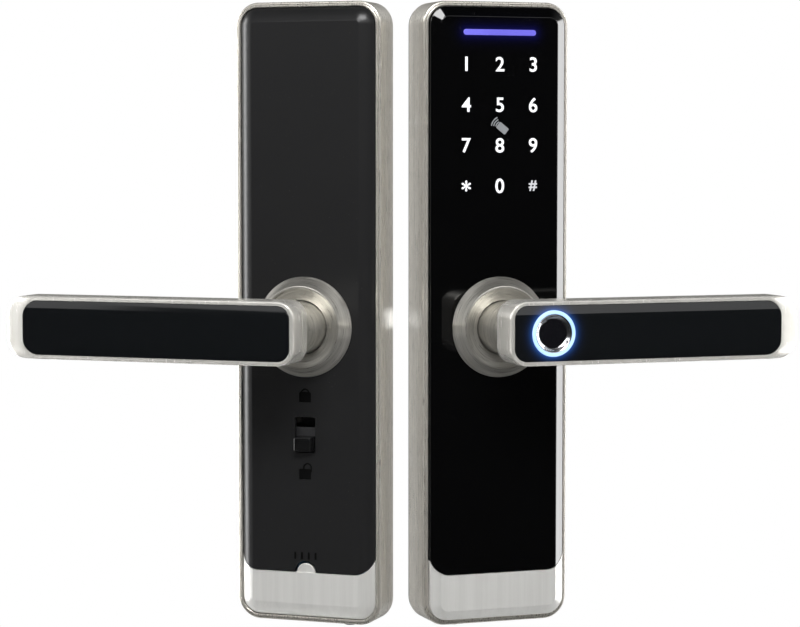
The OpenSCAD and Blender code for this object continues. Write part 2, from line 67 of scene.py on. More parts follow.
# the front covers
front = {"round": 0.35, "neckHole": 30.0, "lightW": 36.0, "lightH": 2.7,
         "lightZ": 275.6, "slotW": 10.2, "slotH": 16.8, "slotZ": 88.85, "notchR": 5.3, "steps": 12,
         "closedZ": 107.4, "openZ": 71.3, "markDeep": 0.3, "strokeW": 1.1, "strokeH": 3.6,
         "strokeX": -5.1, "strokeZ": 31.9, "strokePitch": 3.4, "strokes": 4}
# the privacy slider's knob
slider = {"w": 9.4, "h": 7.1, "lift": 4.2, "z": 84.7}
# the levers, with their sleeves, rosettes and sensor
lever = {"reach": 132.0, "root": 12.8, "h": 29.2, "t": 17.5, "out": 46.0, "r": 8.0, "tipR": 9.5,
         "slope": 9.4, "drop": 3.0, "rim": 1.9, "floor": 3.0, "lift": 0.6, "edge": 0.4, "facet": 4.0,
         "neckD": 24.4, "shoulder": 1.2, "shaft": 12.0, "stub": 16.0, "sensorD": 21.0, "sensorX": 7.8}
depths = {"out": lock["outDepth"], "in": lock["inDepth"]}
bevels = {"out": 4.4, "in": 6.2}
rises = {"out": 2.25, "in": 0.0}
faces = {side: depth + lock["crown"] for side, depth in depths.items()}


def placing(side, tiltJoint):
    # where a half stands: its x axis is the axis its bottom cap tilts about
    x = Vector(joints[tiltJoint]["axis"]).normalized()
    z = Vector((0, 0, 1))
    y = z.cross(x)
    origin = Vector(joints[tiltJoint]["pos_m"]) + y * depths[side] * mm - z * lock["hingeZ"] * mm
    return Matrix.Translation(origin) @ Matrix((x, y, z)).transposed().to_4x4()


place = {"out": placing("out", "key_cover_tilt"), "in": placing("in", "battery_cover_tilt")}


# helpers for meshes

def finishMesh(bm, name):
    bmesh.ops.remove_doubles(bm, verts=bm.verts, dist=1e-6)
    bmesh.ops.recalc_face_normals(bm, faces=bm.faces)
    mesh = bpy.data.meshes.new(name)
    bm.to_mesh(mesh)
    bm.free()
    return mesh


def ring2d(w, h, r, cx=0.0, cz=0.0, steps=10):
    # rounded rectangle as (x, z) points
    points = []
    for sx, sz, start in ((1, 1, 0), (-1, 1, 90), (-1, -1, 180), (1, -1, 270)):
        for i in range(steps + 1):
            a = radians(start + 90 * i / steps)
            points.append((cx + sx * (w / 2 - r) + r * cos(a), cz + sz * (h / 2 - r) + r * sin(a)))
    return points


def loft(name, rings):
    # closed skin over rings of equal count, each ring being (x, out, z) points in mm
    bm = bmesh.new()
    loops = [[bm.verts.new((x * mm, -out * mm, z * mm)) for x, out, z in ring] for ring in rings]
    for a, b in zip(loops, loops[1:]):
        for i in range(len(a)):
            j = (i + 1) % len(a)
            bm.faces.new((a[i], a[j], b[j], b[i]))
    bm.faces.new(loops[0])
    bm.faces.new(loops[-1])
    return finishMesh(bm, name)


def level(points, out):
    return [(x, out, z) for x, z in points]


def prism(name, points, low, high):
    return loft(name, [level(points, low), level(points, high)])


def disc(x, z, r, low, high, steps=72):
    return prism("disc", [(x + r * cos(2 * pi * i / steps), z + r * sin(2 * pi * i / steps))
                          for i in range(steps)], low, high)


def lathe(name, profile, z, x=0.0, steps=96, closed=True):
    # turned about an axis that points out of the door; profile is (radius, out) in mm
    bm = bmesh.new()
    uvs = bm.loops.layers.uv.new("turned")
    rows = []
    for i in range(steps):
        a = 2 * pi * i / steps
        rows.append([bm.verts.new(((x + r * cos(a)) * mm, -out * mm, (z + r * sin(a)) * mm))
                     for r, out in profile])
    along = [0.0]
    for (r0, o0), (r1, o1) in zip(profile, profile[1:] + profile[:1]):
        along.append(along[-1] + sqrt((r1 - r0) ** 2 + (o1 - o0) ** 2))
    count = len(profile) if closed else len(profile) - 1
    for i in range(steps):
        a, b = rows[i], rows[(i + 1) % steps]
        for k in range(count):
            n = (k + 1) % len(profile)
            face = bm.faces.new((a[k], a[n], b[n], b[k]))
            for loop, (u, v) in zip(face.loops, ((i, along[k]), (i, along[k + 1]),
                                                 (i + 1, along[k + 1]), (i + 1, along[k]))):
                loop[uvs].uv = (u / steps, v)
    bmesh.ops.dissolve_degenerate(bm, dist=1e-7, edges=bm.edges)
    return finishMesh(bm, name)


def arc(cx, cy, r, start, end, steps=6):
    return [(cx + r * cos(radians(start + (end - start) * i / steps)),
             cy + r * sin(radians(start + (end - start) * i / steps))) for i in range(steps + 1)]


def shapeOf(obj):
    bpy.context.view_layer.update()
    return bpy.data.meshes.new_from_object(obj.evaluated_get(bpy.context.evaluated_depsgraph_get()))


def standIn(mesh):
    obj = bpy.data.objects.new(mesh.name, mesh)
    bpy.context.scene.collection.objects.link(obj)
    return obj


def carve(mesh, cutters, operation="DIFFERENCE"):
    # cuts a mesh with other meshes and returns the result
    obj = standIn(mesh)
    tools = [standIn(c) for c in cutters]
    for tool in tools:
        mod = obj.modifiers.new("carve", "BOOLEAN")
        mod.operation = operation
        mod.solver = "EXACT"
        mod.object = tool
    result = shapeOf(obj)
    for o in tools + [obj]:
        bpy.data.objects.remove(o)
    return result


def soften(mesh, width, segments=3, angle=28, sharp=34):
    # rounds every edge past angle, then shades smooth up to sharp
    obj = standIn(mesh)
    if width:
        mod = obj.modifiers.new("soften", "BEVEL")
        mod.width = width * mm
        mod.segments = segments
        mod.limit_method = "ANGLE"
        mod.angle_limit = radians(angle)
        mod.miter_outer = "MITER_ARC"
    result = shapeOf(obj)
    bpy.data.objects.remove(obj)
    for poly in result.polygons:
        poly.use_smooth = True
    result.set_sharp_from_angle(angle=radians(sharp))
    weigh = standIn(result)
    mod = weigh.modifiers.new("weigh", "WEIGHTED_NORMAL")
    mod.keep_sharp = True
    done = shapeOf(weigh)
    bpy.data.objects.remove(weigh)
    return done


def joined(name, meshes):
    bm = bmesh.new()
    for mesh in meshes:
        bm.from_mesh(mesh)
    result = bpy.data.meshes.new(name)
    bm.to_mesh(result)
    bm.free()
    return result


def mirrored(mesh):
    bm = bmesh.new()
    bm.from_mesh(mesh)
    bmesh.ops.scale(bm, vec=(-1, 1, 1), verts=bm.verts)
    bmesh.ops.reverse_faces(bm, faces=bm.faces)
    bm.to_mesh(mesh)
    bm.free()
    return mesh


def addPiece(name, mesh, side, material, body, slotName, *nodes):
    mesh.transform(place[side])
    mesh.materials.clear()
    mesh.materials.append(material)
    mesh.name = name
    obj = standIn(mesh)
    obj.name = name
    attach(obj, body)
    if nodes:
        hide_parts(*nodes)
    return obj


# effects that several finishes share

def newGroup(name, inputs, outputs):
    tree = bpy.data.node_groups.new(name, "ShaderNodeTree")
    for label, kind, value in inputs:
        socket = tree.interface.new_socket(name=label, in_out="INPUT", socket_type=kind)
        if value is not None:
            socket.default_value = value
    for label, kind in outputs:
        tree.interface.new_socket(name=label, in_out="OUTPUT", socket_type=kind)
    return tree, tree.nodes.new("NodeGroupInput"), tree.nodes.new("NodeGroupOutput")


def mathNode(tree, operation, a, b=None, c=None, clamp=False):
    node = tree.nodes.new("ShaderNodeMath")
    node.operation = operation
    node.use_clamp = clamp
    for socket, value in zip(node.inputs, (a, b, c)):
        if value is None:
            continue
        if isinstance(value, (int, float)):
            socket.default_value = value
        else:
            tree.links.new(value, socket)
    return node.outputs[0]


def buildBrushGroup():
    # fine parallel scratches and slow tone changes along Z of the given vector
    tree, inp, out = newGroup("brushLines", [
        ("Vector", "NodeSocketVector", None), ("Fineness", "NodeSocketFloat", 2600.0),
        ("Stretch", "NodeSocketFloat", 0.02), ("Contrast", "NodeSocketFloat", 1.0)],
        [("Lines", "NodeSocketFloat"), ("Tone", "NodeSocketFloat")])
    squeeze = tree.nodes.new("ShaderNodeCombineXYZ")
    squeeze.inputs[0].default_value = squeeze.inputs[1].default_value = 1.0
    tree.links.new(inp.outputs["Stretch"], squeeze.inputs[2])
    scaled = tree.nodes.new("ShaderNodeVectorMath")
    scaled.operation = "MULTIPLY"
    tree.links.new(inp.outputs["Vector"], scaled.inputs[0])
    tree.links.new(squeeze.outputs[0], scaled.inputs[1])
    lines = tree.nodes.new("ShaderNodeTexNoise")
    lines.inputs["Detail"].default_value = 3.0
    lines.inputs["Roughness"].default_value = 0.65
    tree.links.new(scaled.outputs[0], lines.inputs["Vector"])
    tree.links.new(inp.outputs["Fineness"], lines.inputs["Scale"])
    centred = mathNode(tree, "SUBTRACT", lines.outputs["Fac"], 0.5)
    spread = mathNode(tree, "MULTIPLY", centred, inp.outputs["Contrast"])
    tree.links.new(mathNode(tree, "ADD", spread, 0.5, clamp=True), out.inputs["Lines"])
    tone = tree.nodes.new("ShaderNodeTexNoise")
    tone.inputs["Scale"].default_value = 240.0
    tone.inputs["Detail"].default_value = 3.0
    tree.links.new(scaled.outputs[0], tone.inputs["Vector"])
    slow = mathNode(tree, "MULTIPLY", mathNode(tree, "SUBTRACT", tone.outputs["Fac"], 0.5), 2.2)
    tree.links.new(mathNode(tree, "ADD", slow, 0.5, clamp=True), out.inputs["Tone"])
    return tree


def buildEdgeHighlightGroup():
    # painted highlight: 1 along convex edges, broken up a little, 0 elsewhere
    tree, inp, out = newGroup("paintedEdgeHighlight", [
        ("Vector", "NodeSocketVector", None), ("Width", "NodeSocketFloat", 0.0004),
        ("Breakup", "NodeSocketFloat", 0.5)], [("Edge", "NodeSocketFloat")])
    bevel = tree.nodes.new("ShaderNodeBevel")
    bevel.samples = 4
    tree.links.new(inp.outputs["Width"], bevel.inputs["Radius"])
    geometry = tree.nodes.new("ShaderNodeNewGeometry")
    dot = tree.nodes.new("ShaderNodeVectorMath")
    dot.operation = "DOT_PRODUCT"
    tree.links.new(bevel.outputs[0], dot.inputs[0])
    tree.links.new(geometry.outputs["Normal"], dot.inputs[1])
    turned = mathNode(tree, "SUBTRACT", 1.0, dot.outputs["Value"])
    edge = mathNode(tree, "MULTIPLY", turned, 9.0, clamp=True)
    noise = tree.nodes.new("ShaderNodeTexNoise")
    noise.inputs["Scale"].default_value = 260.0
    tree.links.new(inp.outputs["Vector"], noise.inputs["Vector"])
    broken = mathNode(tree, "MULTIPLY", noise.outputs["Fac"], inp.outputs["Breakup"])
    tree.links.new(mathNode(tree, "SUBTRACT", edge, broken, clamp=True), out.inputs["Edge"])
    return tree


def buildDustGroup():
    # sparse specks and faint smears for glossy and satin surfaces
    tree, inp, out = newGroup("dustAndSmear", [
        ("Vector", "NodeSocketVector", None), ("Specks", "NodeSocketFloat", 0.5),
        ("Smear", "NodeSocketFloat", 0.5)], [("Dust", "NodeSocketFloat"), ("Rough", "NodeSocketFloat")])
    cells = tree.nodes.new("ShaderNodeTexVoronoi")
    cells.inputs["Scale"].default_value = 420.0
    tree.links.new(inp.outputs["Vector"], cells.inputs["Vector"])
    dot = mathNode(tree, "LESS_THAN", cells.outputs["Distance"], 0.07)
    rare = tree.nodes.new("ShaderNodeTexNoise")
    rare.inputs["Scale"].default_value = 60.0
    tree.links.new(inp.outputs["Vector"], rare.inputs["Vector"])
    kept = mathNode(tree, "GREATER_THAN", rare.outputs["Fac"], 0.58)
    specks = mathNode(tree, "MULTIPLY", mathNode(tree, "MULTIPLY", dot, kept), inp.outputs["Specks"])
    tree.links.new(specks, out.inputs["Dust"])
    smear = tree.nodes.new("ShaderNodeTexNoise")
    smear.inputs["Scale"].default_value = 35.0
    smear.inputs["Detail"].default_value = 5.0
    tree.links.new(inp.outputs["Vector"], smear.inputs["Vector"])
    rough = mathNode(tree, "MULTIPLY", smear.outputs["Fac"], inp.outputs["Smear"])
    tree.links.new(rough, out.inputs["Rough"])
    return tree


def buildHaloGroup():
    # light that fades with the distance from a bar or ring; Along is the bar's direction
    tree, inp, out = newGroup("haloRound", [
        ("Vector", "NodeSocketVector", None), ("Centre", "NodeSocketVector", None),
        ("Along", "NodeSocketVector", None), ("Half Length", "NodeSocketFloat", 0.0),
        ("Radius", "NodeSocketFloat", 0.0), ("Fade", "NodeSocketFloat", 0.002),
        ("Strength", "NodeSocketFloat", 1.0)], [("Glow", "NodeSocketFloat")])

    def vectorNode(operation, a, b=None):
        node = tree.nodes.new("ShaderNodeVectorMath")
        node.operation = operation
        tree.links.new(a, node.inputs[0])
        if b is not None:
            tree.links.new(b, node.inputs[1])
        return node
    offset = vectorNode("SUBTRACT", inp.outputs["Vector"], inp.outputs["Centre"]).outputs[0]
    along = vectorNode("DOT_PRODUCT", offset, inp.outputs["Along"]).outputs["Value"]
    full = vectorNode("LENGTH", offset).outputs["Value"]
    over = mathNode(tree, "MAXIMUM", mathNode(tree, "SUBTRACT", mathNode(tree, "ABSOLUTE", along),
                                              inp.outputs["Half Length"]), 0.0)
    aside = mathNode(tree, "MAXIMUM", mathNode(tree, "SUBTRACT", mathNode(tree, "MULTIPLY", full, full),
                                               mathNode(tree, "MULTIPLY", along, along)), 0.0)
    near = mathNode(tree, "SQRT", mathNode(tree, "ADD", aside, mathNode(tree, "MULTIPLY", over, over)))
    away = mathNode(tree, "ABSOLUTE", mathNode(tree, "SUBTRACT", near, inp.outputs["Radius"]))
    fading = mathNode(tree, "EXPONENT", mathNode(tree, "MULTIPLY", mathNode(tree, "DIVIDE", away,
                                                                            inp.outputs["Fade"]), -1.0))
    tree.links.new(mathNode(tree, "MULTIPLY", fading, inp.outputs["Strength"]), out.inputs["Glow"])
    return tree


brushLines = buildBrushGroup()
haloRound = buildHaloGroup()
paintedEdgeHighlight = buildEdgeHighlightGroup()
dustAndSmear = buildDustGroup()


# finishes

def newMaterial(name):
    material = bpy.data.materials.new(name)
    material.use_nodes = True
    tree = material.node_tree
    return material, tree, tree.nodes["Principled BSDF"]


def useGroup(tree, group, vector, **values):
    node = tree.nodes.new("ShaderNodeGroup")
    node.node_tree = group
    tree.links.new(vector, node.inputs["Vector"])
    for label, value in values.items():
        node.inputs[label].default_value = tuple(value) if isinstance(value, Vector) else value
    return node


def mixColours(tree, fac, low, high):
    node = tree.nodes.new("ShaderNodeMix")
    node.data_type = "RGBA"
    tree.links.new(fac, node.inputs[0])
    for socket, value in ((node.inputs[6], low), (node.inputs[7], high)):
        if isinstance(value, (tuple, list)):
            socket.default_value = (*value, 1.0)
        else:
            tree.links.new(value, socket)
    return node.outputs[2]


def spanTo(tree, value, low, high):
    node = tree.nodes.new("ShaderNodeMapRange")
    tree.links.new(value, node.inputs["Value"])
    node.inputs["To Min"].default_value = low
    node.inputs["To Max"].default_value = high
    return node.outputs[0]


def bumpFrom(tree, shader, height, strength, distance):
    bump = tree.nodes.new("ShaderNodeBump")
    bump.inputs["Strength"].default_value = strength
    bump.inputs["Distance"].default_value = distance
    tree.links.new(height, bump.inputs["Height"])
    tree.links.new(bump.outputs[0], shader.inputs["Normal"])


def brushedMetal(name, dark, light, roughness, metallic=1.0, fineness=2600.0, contrast=1.0,
                 edgeHighlight=0.35, turned=False, anisotropic=0.5):
    material, tree, shader = newMaterial(name)
    coords = tree.nodes.new("ShaderNodeTexCoord")
    if turned:
        # the lathe's UV map: round the axis in U, along the profile in V
        swap = tree.nodes.new("ShaderNodeSeparateXYZ")
        uv = tree.nodes.new("ShaderNodeUVMap")
        uv.uv_map = "turned"
        tree.links.new(uv.outputs[0], swap.inputs[0])
        build = tree.nodes.new("ShaderNodeCombineXYZ")
        tree.links.new(mathNode(tree, "MULTIPLY", swap.outputs["Y"], mm), build.inputs[0])
        tree.links.new(mathNode(tree, "MULTIPLY", swap.outputs["X"], 0.15), build.inputs[2])
        vector = build.outputs[0]
    else:
        vector = coords.outputs["Object"]
    brush = useGroup(tree, brushLines, vector, Fineness=fineness, Contrast=contrast)
    tone = mathNode(tree, "ADD", mathNode(tree, "MULTIPLY", brush.outputs["Lines"], 0.55),
                    mathNode(tree, "MULTIPLY", brush.outputs["Tone"], 0.45))
    colour = mixColours(tree, tone, dark, light)
    # painted highlight: convex edges lightened towards a paler tone of the metal
    if edgeHighlight:
        edge = useGroup(tree, paintedEdgeHighlight, coords.outputs["Object"], Width=0.0005, Breakup=0.6)
        highlight = mathNode(tree, "MULTIPLY", edge.outputs["Edge"], edgeHighlight)
        colour = mixColours(tree, highlight, colour, tuple(min(1.0, c * 1.25) for c in light))
    tree.links.new(colour, shader.inputs["Base Color"])
    tree.links.new(spanTo(tree, brush.outputs["Lines"], roughness - 0.06, roughness + 0.08),
                   shader.inputs["Roughness"])
    shader.inputs["Metallic"].default_value = metallic
    shader.inputs["Anisotropic"].default_value = anisotropic
    bumpFrom(tree, shader, brush.outputs["Lines"], 0.12, 0.00004)
    return material


def blackFinish(name, colour, roughness, coat=0.0, grain=0.0, specks=0.4, smear=0.05, ior=1.5,
                glow=None):
    material, tree, shader = newMaterial(name)
    coords = tree.nodes.new("ShaderNodeTexCoord")
    dust = useGroup(tree, dustAndSmear, coords.outputs["Object"], Specks=specks, Smear=smear)
    tree.links.new(mixColours(tree, dust.outputs["Dust"], colour, (0.09, 0.09, 0.09)),
                   shader.inputs["Base Color"])
    tree.links.new(mathNode(tree, "ADD", dust.outputs["Rough"], roughness), shader.inputs["Roughness"])
    shader.inputs["IOR"].default_value = ior
    shader.inputs["Coat Weight"].default_value = coat
    shader.inputs["Coat Roughness"].default_value = 0.03
    if grain:
        noise = tree.nodes.new("ShaderNodeTexNoise")
        noise.inputs["Scale"].default_value = 5200.0
        noise.inputs["Detail"].default_value = 2.0
        tree.links.new(coords.outputs["Object"], noise.inputs["Vector"])
        bumpFrom(tree, shader, noise.outputs["Fac"], grain, 0.00003)
    if glow:
        halo = useGroup(tree, haloRound, coords.outputs["Object"], **glow["shape"])
        tree.links.new(halo.outputs["Glow"], shader.inputs["Emission Strength"])
        shader.inputs["Emission Color"].default_value = (*glow["colour"], 1.0)
    return material


def glowFinish(name, colour, dim, strength, along=60.0):
    material, tree, shader = newMaterial(name)
    coords = tree.nodes.new("ShaderNodeTexCoord")
    noise = tree.nodes.new("ShaderNodeTexNoise")
    noise.inputs["Scale"].default_value = along
    noise.inputs["Detail"].default_value = 1.0
    tree.links.new(coords.outputs["Object"], noise.inputs["Vector"])
    tree.links.new(mixColours(tree, noise.outputs["Fac"], dim, colour), shader.inputs["Emission Color"])
    tree.links.new(mixColours(tree, noise.outputs["Fac"], tuple(c * 0.3 for c in dim),
                              tuple(c * 0.3 for c in colour)), shader.inputs["Base Color"])
    shader.inputs["Emission Strength"].default_value = strength
    shader.inputs["Roughness"].default_value = 0.35
    return material


def plainFinish(name, low, high, roughness, metallic=0.0, scale=900.0, bump=0.15):
    # cast, moulded, plated or painted: speckled tone, slightly uneven roughness
    material, tree, shader = newMaterial(name)
    coords = tree.nodes.new("ShaderNodeTexCoord")
    noise = tree.nodes.new("ShaderNodeTexNoise")
    noise.inputs["Scale"].default_value = scale
    noise.inputs["Detail"].default_value = 4.0
    tree.links.new(coords.outputs["Object"], noise.inputs["Vector"])
    tree.links.new(mixColours(tree, noise.outputs["Fac"], low, high), shader.inputs["Base Color"])
    tree.links.new(spanTo(tree, noise.outputs["Fac"], roughness - 0.08, roughness + 0.08),
                   shader.inputs["Roughness"])
    shader.inputs["Metallic"].default_value = metallic
    bumpFrom(tree, shader, noise.outputs["Fac"], bump, 0.00005)
    return material


# the halos of the light bar and of the sensor's ring, in metres in the frame
barGlow = {"colour": (0.05, 0.05, 0.9), "shape": {
    "Centre": place["out"] @ Vector((0, -faces["out"] * mm, front["lightZ"] * mm)),
    "Along": place["out"].to_3x3() @ Vector((1, 0, 0)), "Half Length": 0.0165, "Fade": 0.0014,
    "Strength": 0.2}}
ringGlow = {"colour": (0.06, 0.25, 1.0), "shape": {
    "Centre": place["out"] @ (Vector((lever["sensorX"], -faces["out"] - lever["out"], lock["axisZ"])) * mm),
    "Along": (0.0, 0.0, 0.0), "Radius": 0.0105, "Fade": 0.0011, "Strength": 0.35}}
frameMetal = brushedMetal("frameMetal", (0.48, 0.455, 0.405), (0.68, 0.655, 0.60), 0.28, metallic=0.75,
                          fineness=2200.0, contrast=1.3, edgeHighlight=0.15)
capMetal = brushedMetal("capMetal", (0.64, 0.635, 0.61), (0.80, 0.795, 0.77), 0.36, metallic=0.6,
                        fineness=2200.0, contrast=1.0)
leverMetal = brushedMetal("leverMetal", (0.60, 0.585, 0.54), (0.78, 0.765, 0.72), 0.24, metallic=0.66,
                          fineness=2200.0, contrast=1.0)
turnedMetal = brushedMetal("turnedMetal", (0.26, 0.25, 0.22), (0.72, 0.70, 0.65), 0.31, metallic=0.88,
                           fineness=2400.0, contrast=2.6, turned=True, edgeHighlight=0.15)
panelGloss = blackFinish("panelGloss", (0.0009, 0.0009, 0.0010), 0.03, specks=0.2, ior=1.4,
                          glow=barGlow)
inlayGloss = blackFinish("inlayGloss", (0.0035, 0.004, 0.0045), 0.06, specks=0.2, ior=1.38,
                          glow=ringGlow)
coverSatin = blackFinish("coverSatin", (0.0085, 0.0085, 0.0088), 0.29, grain=0.3, smear=0.06, ior=1.34)
markSatin = blackFinish("markSatin", (0.0006, 0.0006, 0.0006), 0.5, ior=1.2)
sliderSatin = blackFinish("sliderSatin", (0.004, 0.004, 0.0042), 0.2, grain=0.1, ior=1.42)
legendWhite = glowFinish("legendWhite", (1.0, 1.0, 1.0), (0.86, 0.88, 0.93), 0.88)
legendSoft = glowFinish("legendSoft", (0.62, 0.63, 0.65), (0.5, 0.51, 0.53), 0.8)
legendGrey = glowFinish("legendGrey", (0.24, 0.25, 0.26), (0.19, 0.2, 0.21), 0.8)
barLight = glowFinish("barLight", (0.20, 0.19, 0.84), (0.07, 0.055, 0.42), 0.92, along=45.0)
ringLight = glowFinish("ringLight", (0.66, 0.86, 1.0), (0.26, 0.50, 0.95), 1.0)
chromeFinish = plainFinish("chromeFinish", (0.62, 0.63, 0.65), (0.74, 0.75, 0.78), 0.2, metallic=1.0,
                           bump=0.02)
glassDark = blackFinish("glassDark", (0.003, 0.003, 0.004), 0.05, coat=0.6, specks=0.1)
boardGreen = plainFinish("boardGreen", (0.01, 0.07, 0.03), (0.02, 0.14, 0.06), 0.35)
copperTrace = plainFinish("copperTrace", (0.45, 0.2, 0.09), (0.72, 0.38, 0.2), 0.3, metallic=1.0)
brassFinish = plainFinish("brassFinish", (0.55, 0.38, 0.15), (0.78, 0.58, 0.28), 0.28, metallic=1.0)
platedFinish = plainFinish("platedFinish", (0.48, 0.49, 0.5), (0.68, 0.69, 0.7), 0.32, metallic=1.0)
darkSteel = plainFinish("darkSteel", (0.05, 0.05, 0.052), (0.12, 0.12, 0.122), 0.4, metallic=0.8)
springWire = plainFinish("springWire", (0.25, 0.26, 0.27), (0.45, 0.46, 0.47), 0.3, metallic=1.0)
blackPlastic = plainFinish("blackPlastic", (0.010, 0.010, 0.011), (0.03, 0.03, 0.032), 0.45)
whitePlastic = plainFinish("whitePlastic", (0.62, 0.61, 0.57), (0.8, 0.79, 0.75), 0.4)
rubberFinish = plainFinish("rubberFinish", (0.009, 0.009, 0.009), (0.022, 0.022, 0.022), 0.7, bump=0.3)
cellSleeve = plainFinish("cellSleeve", (0.05, 0.15, 0.3), (0.1, 0.25, 0.42), 0.3)
print("materials ready")


# the brushed bands round both halves

rim = {"edge": 0.9, "step": 0.6, "groove": 0.35, "beadR": 0.35, "ledge": 3.0, "web": 1.6,
       "webOut": 13.2, "webH": 44.0, "bore": 21.0, "boss": 6.4, "bossHole": 2.5,
       "bossX": 30.2, "bossLow": 68.5, "bossHigh": 222.0,
       "footX": 17.6, "footR": 1.5}


def socketNamed(tree, label):
    return next(s.identifier for s in tree.interface.items_tree
                if s.item_type == "SOCKET" and s.in_out == "INPUT" and s.name == label)


def buildSweepTree():
    # carries a closed profile round a rounded rectangle
    tree = bpy.data.node_groups.new("rimSweep", "GeometryNodeTree")
    for label, kind in (("Profile", "NodeSocketGeometry"), ("Width", "NodeSocketFloat"),
                        ("Height", "NodeSocketFloat"), ("Corner Radius", "NodeSocketFloat"),
                        ("Corner Steps", "NodeSocketInt"), ("Finish", "NodeSocketMaterial")):
        tree.interface.new_socket(name=label, in_out="INPUT", socket_type=kind)
    tree.interface.new_socket(name="Rim", in_out="OUTPUT", socket_type="NodeSocketGeometry")
    inp, out = tree.nodes.new("NodeGroupInput"), tree.nodes.new("NodeGroupOutput")
    path = tree.nodes.new("GeometryNodeCurvePrimitiveQuadrilateral")
    fillet = tree.nodes.new("GeometryNodeFilletCurve")
    fillet.mode = "POLY"
    sweep = tree.nodes.new("GeometryNodeCurveToMesh")
    real = tree.nodes.new("GeometryNodeRealizeInstances")
    finish = tree.nodes.new("GeometryNodeSetMaterial")
    link = tree.links.new
    link(inp.outputs["Width"], path.inputs["Width"])
    link(inp.outputs["Height"], path.inputs["Height"])
    link(path.outputs[0], fillet.inputs["Curve"])
    link(inp.outputs["Corner Radius"], fillet.inputs["Radius"])
    link(inp.outputs["Corner Steps"], fillet.inputs["Count"])
    link(fillet.outputs[0], sweep.inputs["Curve"])
    link(inp.outputs["Profile"], sweep.inputs["Profile Curve"])
    link(sweep.outputs[0], real.inputs[0])
    link(real.outputs[0], finish.inputs["Geometry"])
    link(inp.outputs["Finish"], finish.inputs["Material"])
    link(finish.outputs[0], out.inputs[0])
    return tree


sweepTree = buildSweepTree()


def sweptRim(name, points, width, height, radius, material):
    # points of the profile are (inset from the plate's edge, out), in mm
    curve = bpy.data.curves.new(name, "CURVE")
    curve.dimensions = "3D"
    spline = curve.splines.new("POLY")
    spline.points.add(len(points) - 1)
    for point, (inset, out) in zip(spline.points, points):
        point.co = (-inset * mm, out * mm, 0, 1)
    spline.use_cyclic_u = True
    obj = bpy.data.objects.new(name, curve)
    bpy.context.scene.collection.objects.link(obj)
    mod = obj.modifiers.new("rimSweep", "NODES")
    mod.node_group = sweepTree
    for label, value in (("Width", width * mm), ("Height", height * mm), ("Corner Radius", radius * mm),
                         ("Corner Steps", 14), ("Finish", material)):
        mod[socketNamed(sweepTree, label)] = value
    mesh = shapeOf(obj)
    bpy.data.objects.remove(obj)
    # the sweep lies in XY with out along -Z; stand it up
    mesh.transform(Matrix(((1, 0, 0, 0), (0, 0, 1, 0), (0, 1, 0, height / 2 * mm), (0, 0, 0, 1))))
    bm = bmesh.new()
    bm.from_mesh(mesh)
    return finishMesh(bm, name)


def frameProfile(depth):
    low = depth - rim["step"]
    w, e, bead = lock["rimW"], rim["edge"], rim["beadR"]
    return ([(e, 0.0), (0.0, e)] + arc(e, low - e, e, 180, 90)
            + [(1.0, low), (1.05, low - rim["groove"]), (1.25, low - rim["groove"]), (1.3, depth - 0.3)]
            + arc(1.65, depth - bead, bead, 170, 90, 4) + arc(2.05, depth - bead, bead, 90, 0, 4)
            + [(w, depth - 2.8), (w + rim["ledge"], depth - 2.8), (w + rim["ledge"], depth - 4.4),
               (w, depth - 4.4), (w, 0.0)])


def peg(name, d, low, high, x, z, hole=0.0, steps=32):
    inner = hole / 2
    profile = [(inner, low), (d / 2, low), (d / 2, high), (inner, high)]
    return lathe(name, profile, z, x, steps)


def buildFrame(side, footSide, node):
    depth = depths[side]
    ring = sweptRim(node, frameProfile(depth), lock["plateW"], lock["plateH"], lock["plateR"], frameMetal)
    circle = [(rim["footR"] * cos(2 * pi * i / 24), rim["footR"] * sin(2 * pi * i / 24)) for i in range(24)]
    foot = loft("foot", [[(footSide * rim["footX"] + x, depth / 2 + y, z) for x, y in circle]
                         for z in (-1.0, 4.0)])
    ring = soften(carve(ring, [foot]), 0.0)
    innerW = lock["plateW"] - 2 * lock["rimW"] + 0.4
    web = prism("web", ring2d(innerW, rim["webH"], 1.0, 0, lock["axisZ"]), rim["webOut"],
                rim["webOut"] + rim["web"])
    bore = disc(0, lock["axisZ"], rim["bore"] / 2, 10, 20, 64)
    web = soften(carve(web, [bore]), 0.0)
    bosses = [peg("boss", rim["boss"], 1.6, depth - 4, sx * rim["bossX"], z, rim["bossHole"])
              for sx in (-1, 1) for z in (rim["bossLow"], rim["bossHigh"])]
    mesh = joined(node, [ring, web] + [soften(b, 0.0) for b in bosses])
    return addPiece(node + "_casting", mesh, side, frameMetal, "housings", "brushed_frame", node)


buildFrame("out", -1, "outside_frame")
buildFrame("in", 1, "inside_frame")
print("frames made")


# front covers and bottom caps

def plateRing(inset, out, steps=None):
    w, h, r = lock["plateW"], lock["plateH"], lock["plateR"]
    return level(ring2d(w - 2 * inset, h - 2 * inset, max(r - inset, 0.5), 0, h / 2,
                        steps or front["steps"]), out)


